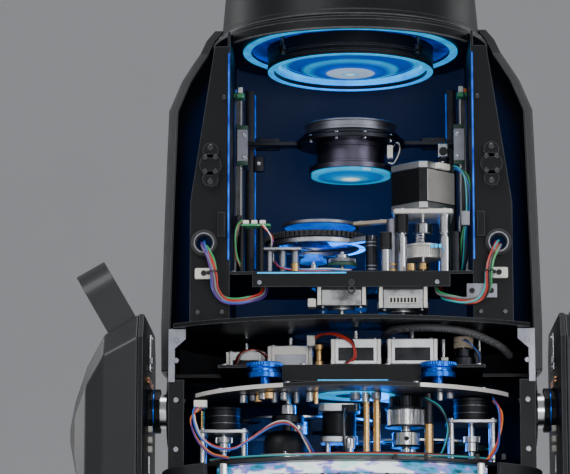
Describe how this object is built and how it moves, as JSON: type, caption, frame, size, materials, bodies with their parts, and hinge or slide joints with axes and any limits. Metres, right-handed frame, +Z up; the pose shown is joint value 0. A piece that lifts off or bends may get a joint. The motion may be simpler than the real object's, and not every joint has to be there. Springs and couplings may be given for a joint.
{
  "type": "moving head beam light",
  "caption": "Stage light whose head tilts in a yoke that pans on a floor base, shown with the front cover of the head taken off and its lens, prism and wheel drives in view.",
  "frame": {"origin": "on the floor under the pan axis, at the middle of the base", "axes": "+Z up along the pan axis and the rest direction of the beam, +X to the right along the tilt axis, -Y to the front"},
  "size_m": [0.474, 0.33, 0.778],
  "materials": {
    "shell_plastic": "satin moulded, dark grey",
    "powder_coat": "fine black powder coat",
    "black_aluminium": "black anodised",
    "raw_sheet": "brushed",
    "bright_metal": "polished",
    "motor_steel": "satin",
    "blue_anodised": "blue anodised",
    "clear_glass": "coated, clear",
    "soft_rubber": "matt",
    "wire_cover": "coloured wire covers"
  },
  "bodies": {
    "base": {"base_housing": "shell_plastic", "base_plate": "powder_coat", "foot_front_left": "soft_rubber", "foot_front_right": "soft_rubber", "foot_rear_left": "soft_rubber", "foot_rear_right": "soft_rubber", "display_panel": "shell_plastic", "connector_panel": "powder_coat", "power_supply": "raw_sheet", "pan_motor": "motor_steel", "pan_belt": "soft_rubber"},
    "yoke": {"yoke_frame": "powder_coat", "pan_tube": "raw_sheet", "left_arm_cover": "shell_plastic", "right_arm_cover": "shell_plastic", "left_handle": "shell_plastic", "right_handle": "shell_plastic", "tilt_motor": "motor_steel", "tilt_belt": "soft_rubber"},
    "head": {"rear_cover": "shell_plastic", "lamp_house": "shell_plastic", "left_side_plate": "powder_coat", "right_side_plate": "powder_coat", "left_side_frame": "powder_coat", "right_side_frame": "powder_coat", "top_plate": "powder_coat", "shelf_plate": "powder_coat", "upper_tray": "powder_coat", "lower_tray": "powder_coat", "left_drum_motor": "powder_coat", "right_drum_motor": "powder_coat", "front_hood": "black_aluminium", "round_plate": "raw_sheet", "bottom_plate": "raw_sheet", "left_rail": "bright_metal", "right_rail": "bright_metal", "lamp_reflector": "bright_metal", "zoom_motor": "motor_steel", "left_tray_motor": "motor_steel", "right_tray_motor": "motor_steel", "row_motor_1": "motor_steel", "row_motor_2": "motor_steel", "row_motor_3": "motor_steel", "row_motor_4": "motor_steel", "left_knob": "blue_anodised", "right_knob": "blue_anodised", "front_lens": "clear_glass", "arc_lamp": "clear_glass", "left_loom": "wire_cover", "right_loom": "wire_cover"},
    "menu_dial": {"menu_dial": "soft_rubber"},
    "back_button": {"back_button": "soft_rubber"},
    "zoom_carriage": {"zoom_carriage": "black_aluminium", "zoom_lens": "clear_glass"},
    "prism_arm": {"prism_arm": "bright_metal"},
    "prism_ring": {"prism_ring": "powder_coat"},
    "frost_arm": {"frost_arm": "bright_metal"},
    "gobo_wheel": {"gobo_wheel": "raw_sheet"},
    "colour_wheel": {"colour_wheel": "raw_sheet"},
    "cooling_fan": {"cooling_fan": "powder_coat"}
  },
  "joints": [
    {"name": "pan", "type": "hinge", "parent": "base", "child": "yoke", "pos_m": [0, 0, 0.106], "axis": [0, 0, 1], "range_deg": [-270, 270]},
    {"name": "tilt", "type": "hinge", "parent": "yoke", "child": "head", "pos_m": [0, 0, 0.405], "axis": [1, 0, 0], "range_deg": [-125, 125]},
    {"name": "zoom", "type": "slide", "parent": "head", "child": "zoom_carriage", "axis": [0, 0, 1], "range_m": [-0.034, 0.012]},
    {"name": "prism_swing", "type": "hinge", "parent": "head", "child": "prism_arm", "pos_m": [0.017, -0.06, 0.53], "axis": [0, 0, 1], "range_deg": [-31.8, 15]},
    {"name": "prism_spin", "type": "hinge", "parent": "prism_arm", "child": "prism_ring", "pos_m": [-0.029, -0.018, 0.548], "axis": [0, 0, 1], "continuous": true},
    {"name": "frost_swing", "type": "hinge", "parent": "head", "child": "frost_arm", "pos_m": [0.035, -0.0566, 0.54], "axis": [0, 0, 1], "range_deg": [-34.7, 10]},
    {"name": "gobo_turn", "type": "hinge", "parent": "head", "child": "gobo_wheel", "pos_m": [-0.04647, 0.03471, 0.396], "axis": [0, 0, 1], "continuous": true},
    {"name": "colour_turn", "type": "hinge", "parent": "head", "child": "colour_wheel", "pos_m": [0.05, 0.03494, 0.376], "axis": [0, 0, 1], "continuous": true},
    {"name": "fan_spin", "type": "hinge", "parent": "head", "child": "cooling_fan", "pos_m": [0, 0, 0.229], "axis": [0, 0, 1], "continuous": true},
    {"name": "dial_turn", "type": "hinge", "parent": "base", "child": "menu_dial", "pos_m": [0.062, -0.153, 0.047], "axis": [0, 1, 0], "continuous": true},
    {"name": "back_press", "type": "slide", "parent": "base", "child": "back_button", "axis": [0, 1, 0], "range_m": [0, 0.0015], "stiffness_N_per_m": 600}
  ]
}
